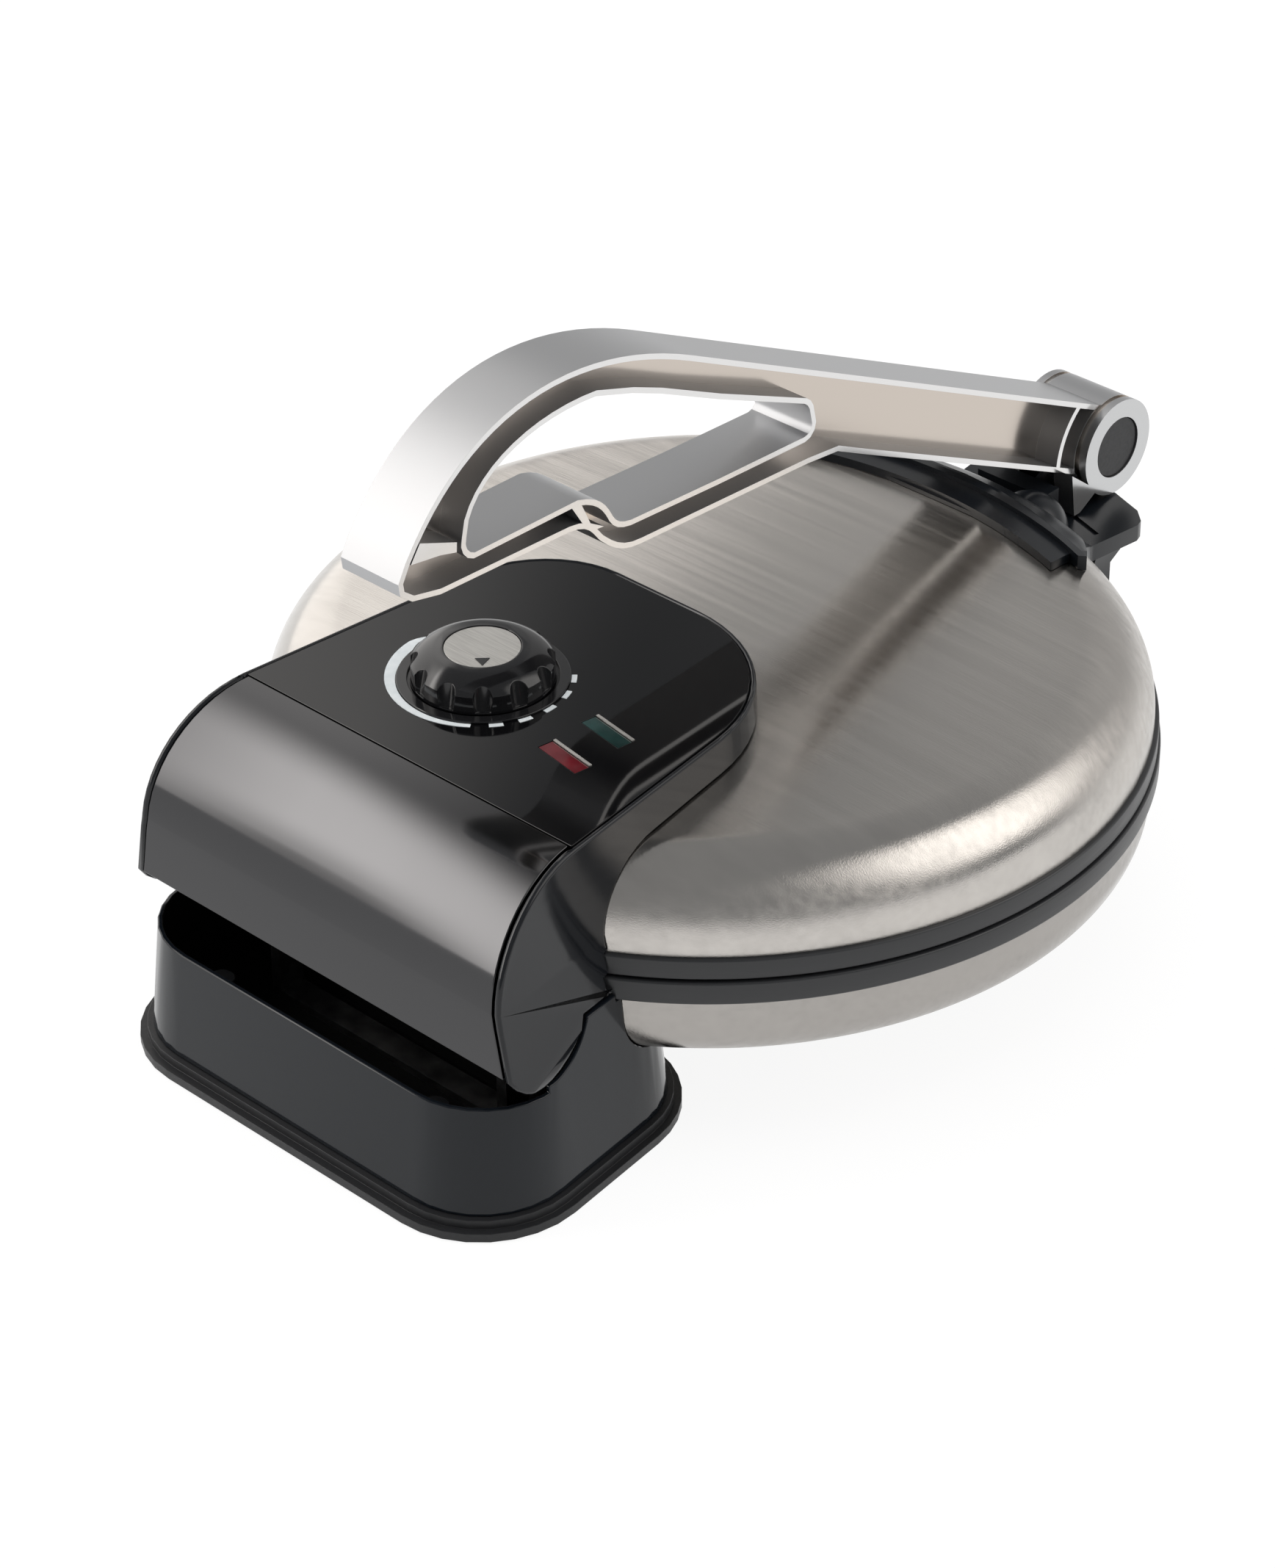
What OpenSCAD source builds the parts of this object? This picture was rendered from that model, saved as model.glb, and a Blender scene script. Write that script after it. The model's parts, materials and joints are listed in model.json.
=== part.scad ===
// Electric roti maker: a hinged press with two round heated plates,
// a control housing at the rear of the lid and a long press lever.

/* [Plates] */
// Diameter of the cooking plates
plate_d = 254; // [240:2:262]
// Thickness of a cooking plate
plate_t = 8; // [6:0.5:10]
// Gap between the closed plates
plate_gap = 0.6; // [0.6:0.1:1.2]

/* [Disc] */
// Width of the black band outside the plates
band_w = 13; // [11:0.5:16]
// How far the lower band ring stands out past the upper one
band_step = 0.8; // [0.2:0.1:1.5]
// Height of the upper band ring
band_up_h = 7; // [5:0.5:10]
// Height of the lower band ring
band_low_h = 7.6; // [5:0.5:10]
// Height of the parting plane above the table
parting_z = 63; // [60:0.5:70]
// How far the steel shells stand in from the band
shell_in = 1.5; // [1:0.1:3]
// Sheet thickness of the steel shells
shell_t = 1.2; // [0.8:0.1:2]
// Height of the lid shell at its shoulder
lid_h = 27; // [24:0.5:34]
// Extra height of the lid shell at its centre
dome_h = 3; // [1:0.5:5]
// Shoulder radius of the lid shell
shoulder_r = 24; // [16:1:26]
// Depth of the lower shell
lower_h = 25.4; // [24:0.5:32]
// Corner radius of the lower shell
lower_r = 16; // [10:1:22]

/* [Base] */
// Length of the base plate, front to rear
plate_len = 108; // [100:1:120]
// Corner radius of the base plate
foot_r = 34; // [24:1:38]
// How far the base plate stands out behind the band
rear_past = 47; // [45:1:50]
// Thickness of the outer rim of the base plate
foot_rim_t = 3; // [2:0.5:5]
// Thickness of the raised step on the base plate
foot_step_t = 3; // [2:0.5:5]
// Inset of the raised step from the rim
foot_step_in = 2.6; // [1.5:0.1:4]
// Inset of the base housing from the rim
box_in = 4.6; // [4:0.2:8]
// Ledge of the base housing beyond the skirt, at the seam
box_ledge = 0.9; // [0.3:0.1:1.5]
// Wall thickness of the plastic housings
wall = 2.5; // [2:0.1:3]
// Height of the rear rim of the base housing
rim_z = 41.7; // [38:0.1:43]
// Height of the seam between base and upper housing
seam_z = 57.5; // [56:0.1:60]
// Sideways taper of the housings, in degrees
taper = 6; // [3:0.2:7]
// Draft of the base's side walls, in degrees
base_draft = 4; // [3:0.2:6]
// Draft of the base's rear wall, in degrees
rear_draft = 6.2; // [5:0.2:8]
// Wall thickness of the open rear well
well_wall = 1.6; // [1.4:0.1:2.5]

/* [Control housing] */
// Height of the top panel
housing_z = 111; // [108:0.5:116]
// Length of the control housing, front to rear
housing_len = 157; // [150:1:160]
// Distance from the rear of the base plate to the rear of the housing
housing_in = 18; // [16:0.5:20]
// Half width of the housing at the top rear
housing_half_w = 73.8; // [72:0.2:75]
// Half width where the skirt begins to flare
skirt_half_w = 75.8; // [75:0.2:78]
// Half width of the skirt at the flap's lower edge
flap_half_w = 80; // [78:0.5:82]
// Height where the skirt begins to flare
skirt_z = 76; // [72:1:82]
// Narrowing of the lamp side towards the front, in degrees
lamp_taper = 7; // [5:0.2:9]
// Radius of the housing's front corner on the lamp side
lamp_corner_r = 56; // [40:1:58]
// Radius of the housing's front corner on the knob side
knob_corner_r = 36; // [25:1:45]
// Radius of the rear curve of the housing
rear_r = 39; // [30:1:42]
// Height of the lower edge of the rear flap
flap_z = 55; // [53:0.5:57]
// Thickness of the panel inlay
panel_t = 2; // [1.5:0.1:3]
// Width of the frame left round the panel inlay
panel_frame = 1.8; // [1.2:0.1:3]

/* [Hinge] */
// Distance from the rear of the base plate to the hinge axis
hinge_in = 35; // [33:0.5:36]
// Height of the hinge axis
hinge_z = 64; // [63:0.5:66]
// Diameter of the hinge pin
hinge_pin_d = 6; // [5:0.5:8]
// Distance of the hinge arms from the middle
hinge_x = 44; // [36:1:50]
// Thickness of the hinge arms and legs
hinge_t = 4; // [3:0.5:5]

/* [Lever] */
// How far the lever pivot stands out in front of the band
pivot_past = 44; // [42:1:48]
// Height of the lever pivot
pivot_z = 89.5; // [88:0.5:94]
// Diameter of the pivot barrels
barrel_d = 34; // [30:1:36]
// Length of the barrels from end to end
barrel_len = 31; // [29:0.5:34]
// Last turn of the lever, where its slot meets the post, in degrees
lever_stop = 115; // [100:1:120]
// Diameter of the pivot pin
pivot_pin_d = 8; // [6:0.5:10]
// Length of the lever from its pivot to its tip
lever_len = 324; // [310:1:340]
// Width of the lever
lever_w = 23.4; // [20:0.2:26]
// Thickness of the lever's flanges
flange_t = 1.8; // [1.4:0.1:2.6]
// Thickness of the lever's web
web_t = 5; // [3:0.5:7]
// Thickness of the bracket post inside the barrels
post_t = 11; // [9:0.5:12]
// Width of the post below the pivot
post_w = 10; // [8:0.5:12]
// Half width of the bracket's wing
wing_half_w = 34; // [30:1:40]
// Thickness of the wing
wing_t = 6; // [5:0.5:8]

/* [Knob] */
// Diameter of the knob
knob_d = 44; // [40:1:48]
// Height of the knob
knob_h = 10.4; // [9:0.2:14]
// Sideways place of the knob
knob_x = 14.5; // [10:0.5:18]
// Distance from the rear of the housing to the knob
knob_in = 85.5; // [82:0.5:90]
// Number of finger flutes round the knob
flute_count = 12; // [8:1:16]
// Diameter of the silver cap
cap_d = 23.2; // [20:0.2:26]
// Diameter of the knob shaft
shaft_d = 6; // [5:0.5:8]

/* [Lamps] */
// Length of a lamp window
lamp_l = 17.5; // [12:0.5:20]
// Width of a lamp window
lamp_w = 5; // [4:0.5:7]
// Sideways place of the lamp windows
lamp_x = -33.5; // [-36:0.5:-28]
// Distance from the rear of the housing to the green lamp
ready_in = 88.5; // [85:0.5:92]
// Distance between the two lamps
lamp_pitch = 18; // [14:1:22]

/* [Clearances] */
// Running gap between moving pieces
run_gap = 0.8; // [0.5:0.1:1.2]
// Seam between fixed pieces
seam = 0.2; // [0.1:0.05:0.4]
// Radial clearance of pins and shafts
pin_gap = 0.05; // [0.02:0.01:0.09]

/* [Hidden] */
$fn = 64;

// Distances from the disc axis
plate_r = plate_d / 2;
band_r = plate_r + band_w;
low_band_r = band_r + band_step;
shell_r = band_r - shell_in;
rear_reach = band_r + rear_past;
pivot_reach = band_r + pivot_past;
hinge_y = rear_reach - hinge_in;
housing_rear = rear_reach - housing_in;
housing_front = housing_rear - housing_len;
knob_y = housing_rear - knob_in;
ready_y = housing_rear - ready_in;
far = 2 * rear_reach;

// The origin lies on the table, midway between the front and the rear
front_reach = pivot_reach + barrel_d / 2;
disc_y = (front_reach - rear_reach) / 2;

// Heights of the disc, from the table up
up_z = parting_z + plate_gap / 2;
low_z = parting_z - plate_gap / 2;
band_top = up_z + band_up_h;
band_bottom = low_z - band_low_h;
lid_top = band_top + lid_h;
shell_bottom = band_bottom - lower_h;
plate_lip = 4;
plate_lip_t = 2.3;

// Upper housing
flap_r = norm([housing_rear - hinge_y, hinge_z - flap_z]);
wall_bottom = seam_z + run_gap / 2;
skirt_bottom = hinge_z - flap_r - 1;
skirt_front = 100;
skirt_front_w = 67;
bottom_half_w = skirt_half_w + (flap_half_w - skirt_half_w) * (skirt_z - skirt_bottom) / (skirt_z - flap_z);
cover_y = housing_rear - rear_r;
skin_t = 2.5;
skin_top = housing_z - panel_t;

// Base outline: its top follows the skirt's width at the seam
foot_front = rear_reach - plate_len;
box_z = foot_rim_t + foot_step_t;
box_rear = rear_reach - box_in;
box_front = foot_front + box_in;
seam_half_w = skirt_half_w + (flap_half_w - skirt_half_w) * (skirt_z - wall_bottom) / (skirt_z - flap_z);
box_half_w = seam_half_w + box_ledge + tan(base_draft) * (seam_z - run_gap / 2 - box_z);
foot_half_w = box_half_w + box_in;
box_r = foot_r - box_in;

// Lever, measured from its pivot: its slot is open over the turn of the post
slot_r = barrel_d / 2 + 2;
post_r = 12;
slot_side = asin((post_w / 2 + run_gap) / (post_r + run_gap));
slot_from = 270 - lever_stop - slot_side;
slot_to = 270 + slot_side;
rib_r = barrel_d / 2 + 10;
rib_t = 2;
groove_in = 3.4;
groove_w = 1.6;
cap_seat_d = 21;
cap_seat_t = 3;
print_t = 0.2;

// Points on an arc, from one angle to another
function arc(cx, cy, r, a0, a1, n = 10) =
    [for (i = [0:n]) let (a = a0 + (a1 - a0) * i / n) [cx + r * cos(a), cy + r * sin(a)]];

// Points on a cubic curve
function curve(p, n = 12) =
    [for (i = [0:n]) let (t = i / n, s = 1 - t)
        s * s * s * p[0] + 3 * s * s * t * p[1] + 3 * s * t * t * p[2] + t * t * t * p[3]];

function unit(v) = v / norm(v);

// An anticlockwise outline moved inwards by d
function inset(p, d) =
    [for (i = [0:len(p) - 1])
        let (u = unit(p[i] - p[(i + len(p) - 1) % len(p)]),
            v = unit(p[(i + 1) % len(p)] - p[i]),
            s = [-u.y - v.y, u.x + v.x])
        p[i] + s * 2 * d / (s * s)];

function flipped(p) = [for (i = [len(p) - 1:-1:0]) [-p[i].x, p[i].y]];

// One front corner of a plan: half width w at y1, front at y0, side narrowing by t degrees
function front_corner(w, y0, y1, r, t, n = 8) =
    arc(w - tan(t) * (y1 - y0 - r) - r / cos(t), y0 + r, r, -90, -t, n);

// Plan outline of the base: half width at the rear, then front, rear and radius
function base_plan(w, y0, y1, r, n = 8) =
    let (side = concat(front_corner(w, y0, y1, r, taper, n),
            arc(w - tan(taper) * r - r / cos(taper), y1 - r, r, -taper, 90, n)))
    concat(side, flipped(side));

// Plan outline of the upper housing, moved inwards by g and run on to y1
function house_plan(w, g, y1) =
    let (y0 = housing_front + g, v = w - g, back = y1 - housing_rear)
    concat(front_corner(v, y0, housing_rear, knob_corner_r - g, taper, 10), [[v + tan(taper) * back, y1]],
        flipped(concat(front_corner(v, y0, housing_rear, lamp_corner_r - g, lamp_taper, 14),
            [[v + tan(lamp_taper) * back, y1]])));

// Outline of the whole disc in section, grown by g
function disc_section(g) = concat(
    [[0, shell_bottom - g]],
    arc(shell_r - lower_r, shell_bottom + lower_r, lower_r + g, -90, 0),
    [[shell_r + g, band_bottom - g], [low_band_r + g, band_bottom - g],
        [low_band_r + g, parting_z], [band_r + g, parting_z], [band_r + g, band_top + g],
        [shell_r + g, band_top + g]],
    arc(shell_r - shoulder_r, lid_top - shoulder_r, shoulder_r + g, 0, 90),
    [for (i = [1:6]) let (r = (shell_r - shoulder_r) * (1 - i / 6))
        [r, lid_top + g + dome_h * (1 - pow(1 - i / 6, 2))]]);

// Section of the lid shell's skin, moved inwards by t
function lid_section(t) = concat(
    [[0, band_top], [shell_r - t, band_top]],
    arc(shell_r - shoulder_r, lid_top - shoulder_r, shoulder_r - t, 0, 90),
    [for (i = [1:6]) let (r = (shell_r - shoulder_r) * (1 - i / 6))
        [r, lid_top - t + dome_h * (1 - pow(1 - i / 6, 2))]]);

function lower_section(t) = concat(
    [[0, band_bottom], [0, shell_bottom + t]],
    arc(shell_r - lower_r, shell_bottom + lower_r, lower_r - t, -90, 0),
    [[shell_r - t, band_bottom]]);

// Side view of the upper housing: top, rear curve, flap and the arc round the hinge
function housing_side() = concat(
    [[housing_front, wall_bottom], [hinge_y - flap_r, wall_bottom]],
    arc(hinge_y, hinge_z, flap_r, -180 + asin((hinge_z - wall_bottom) / flap_r),
        -asin((hinge_z - flap_z) / flap_r)),
    arc(cover_y, housing_z - rear_r, rear_r, 0, 90, 14),
    [[housing_front, housing_z]]);

// Lever outline from the pivot, with the stowed lever's own slope
lever_k = lever_len / 324;

function lever_outline() = lever_k * concat(
    [[0, -13], [124, 47.5], [138, 54.5], [152, 56]],
    curve([[226, 60], [233.5, 60.3], [237.5, 62.8], [243, 68.1]], 5),
    curve([[243.8, 69], [246.5, 72.2], [247.8, 76], [256, 76.7]], 6),
    [[308, 79], [319, 81.5], [323.5, 85], [324, 89]],
    curve([[321, 94.5], [295.7, 132.7], [252, 137.5], [204, 114]], 24),
    [[0, 14]]);

function lever_loop() = lever_k * concat(
    arc(153.5, 69.2, 3.4, 180, 270, 3),
    [[192, 67.5]],
    curve([[230, 69.8], [234.5, 70.4], [236.3, 71.8], [237.8, 74.2]], 4),
    curve([[238.2, 75], [240.6, 79.6], [243.6, 83.6], [252.3, 85.8]], 6),
    arc(293, 91, 4.5, -75, 20, 4),
    curve([[296, 98], [290, 112], [268, 119], [244, 116.5]], 12),
    [[229, 111.5], [217, 106.5], [192, 94.5]],
    arc(156, 73, 5, 118, 160, 2));

// Two webs that cross the recess, near the tip and at the step
function lever_ribs() = [
    lever_k * [[318.9, 93.3], [315.1, 98.7], [300.9, 92.9], [301.1, 89.7], [307.4, 91.5]],
    lever_k * [[255.4, 85.2], [249.8, 76.1], [245.6, 72.9], [241.6, 72.5], [247.2, 75.9], [251.2, 84.6]]];

module at_disc() {
    translate([0, disc_y, 0])
        children();
}

// A side view extruded across the object, centred
module across(points, w) {
    rotate([90, 0, 90])
        translate([0, 0, -w / 2])
            linear_extrude(w)
                polygon(points);
}

// A round bar along X, centred
module bar(d, l) {
    rotate([0, 90, 0])
        cylinder(d = d, h = l, center = true);
}

module both_sides() {
    children();
    mirror([1, 0, 0])
        children();
}

// A solid on a plan of half width w and half length l that narrows on its way up
module drafted(points, w, l, h, narrower_x, narrower_y, mid_y) {
    translate([0, mid_y, 0])
        linear_extrude(h, scale = [1 - narrower_x / w, 1 - narrower_y / l], slices = 1)
            translate([0, -mid_y])
                polygon(points);
}

// Space taken by the disc, with a margin
module disc_space(g) {
    rotate_extrude($fn = 96)
        polygon(disc_section(g));
}

// Where the base screws and the pads sit
screw_spots = [[46, box_rear - 15], [46, box_front + 15]];
pad_spots = [[foot_half_w - 24, rear_reach - 20], [foot_half_w - 31, foot_front + 18]];
screw_d = 3.4;
screw_head_d = 7;
screw_head_t = 2.4;
screw_l = 16;
pad_d = 14;
pad_t = 2;

module at_spots(spots) {
    for (p = spots, side = [-1, 1])
        translate([side * p.x, p.y, 0])
            children();
}

module base_plate() {
    color("#1c1d20")
        at_disc()
            difference() {
                union() {
                    linear_extrude(foot_rim_t)
                        polygon(base_plan(foot_half_w, foot_front, rear_reach, foot_r));
                    linear_extrude(box_z)
                        polygon(base_plan(foot_half_w - foot_step_in, foot_front + foot_step_in,
                            rear_reach - foot_step_in, foot_r - foot_step_in));
                }
                at_spots(pad_spots)
                    translate([0, 0, -1])
                        cylinder(d = pad_d + 2 * seam, h = pad_t + 1);
                at_spots(screw_spots) {
                    translate([0, 0, -1])
                        cylinder(d = screw_d + 2 * seam, h = box_z + 2);
                    translate([0, 0, -1])
                        cylinder(d = screw_head_d + 2 * seam, h = screw_head_t + 2);
                }
            }
}

module rubber_feet() {
    color("#2b2b2b")
        at_disc()
            at_spots(pad_spots)
                cylinder(d = pad_d, h = pad_t);
}

module base_screws() {
    color("#9b9ea3")
        at_disc()
            at_spots(screw_spots)
                translate([0, 0, 1]) {
                    cylinder(d = screw_head_d, h = screw_head_t);
                    cylinder(d = screw_d, h = screw_l);
                }
}

gland_y = foot_front + 43;
gland_z = 20;
gland_d = 12;
gland_bore = 7;
gland_flange_d = 17;
gland_flange_t = 2;
gland_pad_x = box_half_w - tan(taper) * (box_rear - gland_y) + seam;

// Front of the open rear well, behind the lower shell
well_front = hinge_y - 22;

// Solid block of the base housing, moved inwards by g
module box_block(g, z0, z1) {
    w = box_half_w - g;
    drop = z1 - z0;
    translate([0, 0, z0])
        drafted(base_plan(w, box_front + g, box_rear - g, box_r - g),
            w, (box_rear - box_front) / 2 - g, drop, tan(base_draft) * drop, tan(rear_draft) * drop,
            (box_front + box_rear) / 2);
}

module base_housing() {
    color("#121316")
        at_disc()
            difference() {
                union() {
                    difference() {
                        box_block(0, box_z, seam_z - run_gap / 2);
                        well_space();
                        cradle_space();
                    }
                    at_spots(screw_spots)
                        translate([0, 0, box_z])
                            cylinder(d = 9, h = shell_bottom - box_z);
                    translate([gland_pad_x - 8, gland_y, gland_z])
                        rotate([0, 90, 0])
                            cylinder(d = gland_flange_d, h = 8);
                }
                disc_space(seam);
                rear_cut();
                at_spots(screw_spots)
                    translate([0, 0, box_z - 1])
                        cylinder(d = screw_d + 2 * pin_gap, h = screw_l - 1);
                translate([gland_pad_x - 20, gland_y, gland_z])
                    rotate([0, 90, 0])
                        cylinder(d = gland_d + 2 * pin_gap, h = 40);
            }
}

// Inside of the open rear well, above its floor
module well_space() {
    intersection() {
        box_block(well_wall, box_z - 1, seam_z + 5);
        translate([-far, well_front, box_z + wall])
            cube(2 * far);
    }
}

// Hollow under the lower shell, open to the base plate
module cradle_space() {
    intersection() {
        box_block(wall, box_z - 1, seam_z + 5);
        translate([-far, 0, 0])
            cube([2 * far, well_front - wall, shell_bottom - seam - wall]);
    }
}

// Everything above the rear rim, back from the arc of the flap
module rear_cut() {
    across([[hinge_y, rim_z], [far, rim_z], [far, far], [hinge_y, far]], far);
    translate([0, hinge_y, hinge_z])
        bar(2 * (flap_r + run_gap), far);
}

// Two legs on the floor of the well, standing clear of the flap's path
floor_z = box_z + wall;
hinge_eye_r = 7;
leg_x = hinge_x + hinge_t + run_gap;
leg_back = 18;
leg_l = 9;
leg_floor_t = 2.5;

module hinge_bracket() {
    side = concat(
        [[-leg_back, floor_z - hinge_z], [leg_l - leg_back, floor_z - hinge_z],
            [leg_l - leg_back, -flap_r - 2], [-15, -15], [-10, -8.2]],
        arc(0, 0, hinge_eye_r, -100, 110),
        [[-leg_back, 1]]);
    color("#8d9094")
        at_disc()
            difference() {
                union() {
                    both_sides()
                        translate([leg_x, hinge_y, hinge_z])
                            across(side, hinge_t);
                    translate([-leg_x, hinge_y - leg_back, floor_z])
                        cube([2 * leg_x, leg_l, leg_floor_t]);
                }
                translate([0, hinge_y, hinge_z])
                    bar(hinge_pin_d + 2 * pin_gap, 4 * leg_x);
            }
}

module hinge_pin() {
    color("#b9bcc0")
        at_disc()
            translate([0, hinge_y, hinge_z])
                bar(hinge_pin_d, 2 * (leg_x + hinge_t));
}

module cord_gland() {
    color("#202124")
        at_disc()
            translate([gland_pad_x, gland_y, gland_z])
                rotate([0, 90, 0])
                    difference() {
                        union() {
                            translate([0, 0, -10])
                                cylinder(d = gland_d, h = 10);
                            cylinder(d = gland_flange_d, h = gland_flange_t);
                        }
                        translate([0, 0, -11])
                            cylinder(d = gland_bore, h = 20);
                    }
}

module terminal_block() {
    color("#e7e2d6")
        at_disc()
            translate([-16, gland_y - 20, box_z])
                cube([32, 15, 12]);
}

module lower_shell() {
    color("#b7b3ad")
        at_disc()
            rotate_extrude($fn = 96)
                difference() {
                    polygon(lower_section(0));
                    polygon(lower_section(shell_t));
                }
}

module lower_band() {
    color("#26282b")
        at_disc()
            rotate_extrude($fn = 96)
                polygon([[plate_r + seam, low_z], [plate_r + seam, low_z - plate_t + plate_lip_t],
                    [plate_r + plate_lip + seam, low_z - plate_t + plate_lip_t],
                    [plate_r + plate_lip + seam, band_bottom], [low_band_r, band_bottom],
                    [low_band_r, low_z]]);
}

module lower_plate() {
    color("#3a3b3d")
        at_disc()
            translate([0, 0, low_z - plate_t]) {
                cylinder(r = plate_r, h = plate_t, $fn = 96);
                cylinder(r = plate_r + plate_lip, h = plate_lip_t, $fn = 96);
            }
}

heater_in = 42;
heater_r = plate_r - heater_in;
heater_tube = 4;

module heater_ring() {
    rotate_extrude($fn = 96)
        translate([heater_r, 0])
            circle(heater_tube, $fn = 24);
}

module lower_heater() {
    color("#77706a")
        at_disc()
            translate([0, 0, low_z - plate_t - heater_tube])
                heater_ring();
}

foot_in = 46.5;
foot_y = foot_in - shell_r;
leg_half_w = 20;

foot_l = 16;
foot_top_l = 24;

module front_foot() {
    color("#1c1d20")
        at_disc()
            across([[foot_y - foot_l / 2, pad_t + 1], [foot_y + foot_l / 2, pad_t + 1],
                [foot_y + foot_top_l / 2, shell_bottom], [foot_y - foot_top_l / 2, shell_bottom]],
                2 * leg_half_w);
}

module front_pad() {
    color("#2b2b2b")
        at_disc()
            translate([-leg_half_w + 2, foot_y - foot_l / 2 + 1, 0])
                cube([2 * leg_half_w - 4, foot_l - 2, pad_t + 1]);
}

thermo_w = 26;
thermo_h = 15;
window_gap = 2;

module lid_shell() {
    color("#b9b4ad")
        at_disc()
            difference() {
                rotate_extrude($fn = 96)
                    difference() {
                        polygon(lid_section(0));
                        polygon(lid_section(shell_t));
                    }
                translate([knob_x, knob_y, lid_top])
                    cube([thermo_w + 2 * window_gap, thermo_w + 2 * window_gap, 40], center = true);
                at_hinge_screws()
                    cylinder(d = screw_d + 2 * seam, h = 40, center = true);
            }
}

module lid_band() {
    color("#26282b")
        at_disc()
            rotate_extrude($fn = 96)
                polygon([[plate_r + seam, up_z], [band_r, up_z], [band_r, band_top],
                    [plate_r + plate_lip + seam, band_top],
                    [plate_r + plate_lip + seam, up_z + plate_t - plate_lip_t],
                    [plate_r + seam, up_z + plate_t - plate_lip_t]]);
}

module upper_plate() {
    color("#3a3b3d")
        at_disc()
            translate([0, 0, up_z]) {
                cylinder(r = plate_r, h = plate_t, $fn = 96);
                translate([0, 0, plate_t - plate_lip_t])
                    cylinder(r = plate_r + plate_lip, h = plate_lip_t, $fn = 96);
            }
}

module upper_heater() {
    color("#77706a")
        at_disc()
            translate([0, 0, up_z + plate_t + heater_tube])
                heater_ring();
}

// Solid of the upper housing above its skirt, moved inwards by g and run on to y1
module housing_top(g, y1) {
    translate([0, 0, skirt_z])
        drafted(house_plan(skirt_half_w, g, y1), skirt_half_w, 1, housing_z - skirt_z + print_t,
            skirt_half_w - housing_half_w, 0, 0);
}

// The same with the flared skirt below it
module housing_block(g, y1) {
    housing_top(g, y1);
    hull() {
        translate([0, 0, skirt_z])
            linear_extrude(0.01)
                polygon(house_plan(skirt_half_w, g, y1));
        translate([0, 0, skirt_bottom])
            linear_extrude(0.01)
                polygon([[g - bottom_half_w, y1], [g - skirt_front_w, skirt_front],
                    [skirt_front_w - g, skirt_front], [bottom_half_w - g, y1]]);
    }
}

module control_housing() {
    color("#5a5555")
        at_disc()
            difference() {
                intersection() {
                    across(housing_side(), far);
                    housing_block(0, housing_rear + 4);
                }
                intersection() {
                    housing_block(wall, housing_rear + 4);
                    across([[0, 0], [far, 0], [far, far], [cover_y, far],
                        [cover_y, skin_top - skin_t], [0, skin_top - skin_t]], far);
                }
                intersection() {
                    housing_top(panel_frame, cover_y + 10);
                    translate([-100, 0, skin_top])
                        cube([200, cover_y + 1, 20]);
                }
                disc_space(seam);
                cylinder(r = low_band_r + 2 * run_gap, h = parting_z + run_gap, $fn = 96);
                translate([knob_x, knob_y, 0])
                    cylinder(d = shaft_d + 2 * run_gap, h = 200);
                at_lamps()
                    cube([lamp_l + 2 * seam, lamp_w + 2 * seam, 60], center = true);
            }
}

lamp_turn = lamp_taper + 2;
lens_t = 3;

module at_lamps() {
    for (i = [0, 1])
        translate([lamp_x, ready_y + i * lamp_pitch, skin_top])
            rotate([0, 0, -lamp_turn])
                children();
}

module control_panel() {
    color("#0d0e10")
        at_disc()
            difference() {
                intersection() {
                    housing_top(panel_frame + seam, cover_y + 10);
                    translate([-100, 0, skin_top])
                        cube([200, cover_y - seam, panel_t]);
                }
                translate([knob_x, knob_y, 0])
                    cylinder(d = shaft_d + 2 * run_gap, h = 200);
                at_lamps()
                    cube([lamp_l + 2 * seam, lamp_w + 2 * seam, 20], center = true);
            }
}

module rear_cover() {
    color("#6a6463")
        at_disc()
            intersection() {
                across(concat(
                    [[housing_rear - wall, flap_z], [housing_rear, flap_z]],
                    arc(cover_y, housing_z - rear_r, rear_r, 0, 89.6, 14),
                    arc(cover_y, housing_z - rear_r, rear_r - wall, 89.6, 0, 14)), far);
                housing_block(wall + 3 * seam, housing_rear + 4);
            }
}

// Printed scale round the knob: a tapering sweep and five dashes
scale_r = knob_d / 2 + 4.4;
scale_t = 1.6;
sweep_from = -17;
sweep_to = 127;
dash_from = 143;
dash_step = 19.2;
dash_len = 9;

// Width of the sweep at a share u of its length
function sweep_w(u) = (scale_t + 3.2 * pow(1 - u, 1.2)) * min(1, 0.2 + u / 0.15);

function sweep_points(n = 30) = concat(
    [for (i = [0:n]) let (a = sweep_from + (sweep_to - sweep_from) * i / n) scale_r * [cos(a), sin(a)]],
    [for (i = [n:-1:0]) let (a = sweep_from + (sweep_to - sweep_from) * i / n)
        (scale_r + sweep_w(i / n)) * [cos(a), sin(a)]]);

module dial_marks() {
    color("#f2f2f2")
        at_disc()
            translate([knob_x, knob_y, housing_z]) {
                linear_extrude(print_t)
                    polygon(sweep_points());
                for (i = [0:4])
                    rotate([0, 0, dash_from - dash_len / 2 + i * dash_step])
                        rotate_extrude(angle = dash_len, $fn = 96)
                            translate([scale_r, 0])
                                square([scale_t, print_t]);
            }
}

// Low ring that the knob turns inside
module dial_ring() {
    color("#26272a")
        at_disc()
            translate([knob_x, knob_y, housing_z])
                rotate_extrude()
                    translate([knob_d / 2 + run_gap, 0])
                        square([scale_r - knob_d / 2 - run_gap - seam, 0.8]);
}

module lens(y) {
    translate([lamp_x, y, housing_z - lens_t])
        rotate([0, 0, -lamp_turn])
            translate([-lamp_l / 2, -lamp_w / 2, 0])
                cube([lamp_l, lamp_w, lens_t - 0.2]);
}

module ready_lens() {
    color("#1d6b5a")
        at_disc()
            lens(ready_y);
}

module power_lens() {
    color("#c2324a")
        at_disc()
            lens(ready_y + lamp_pitch);
}

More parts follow.
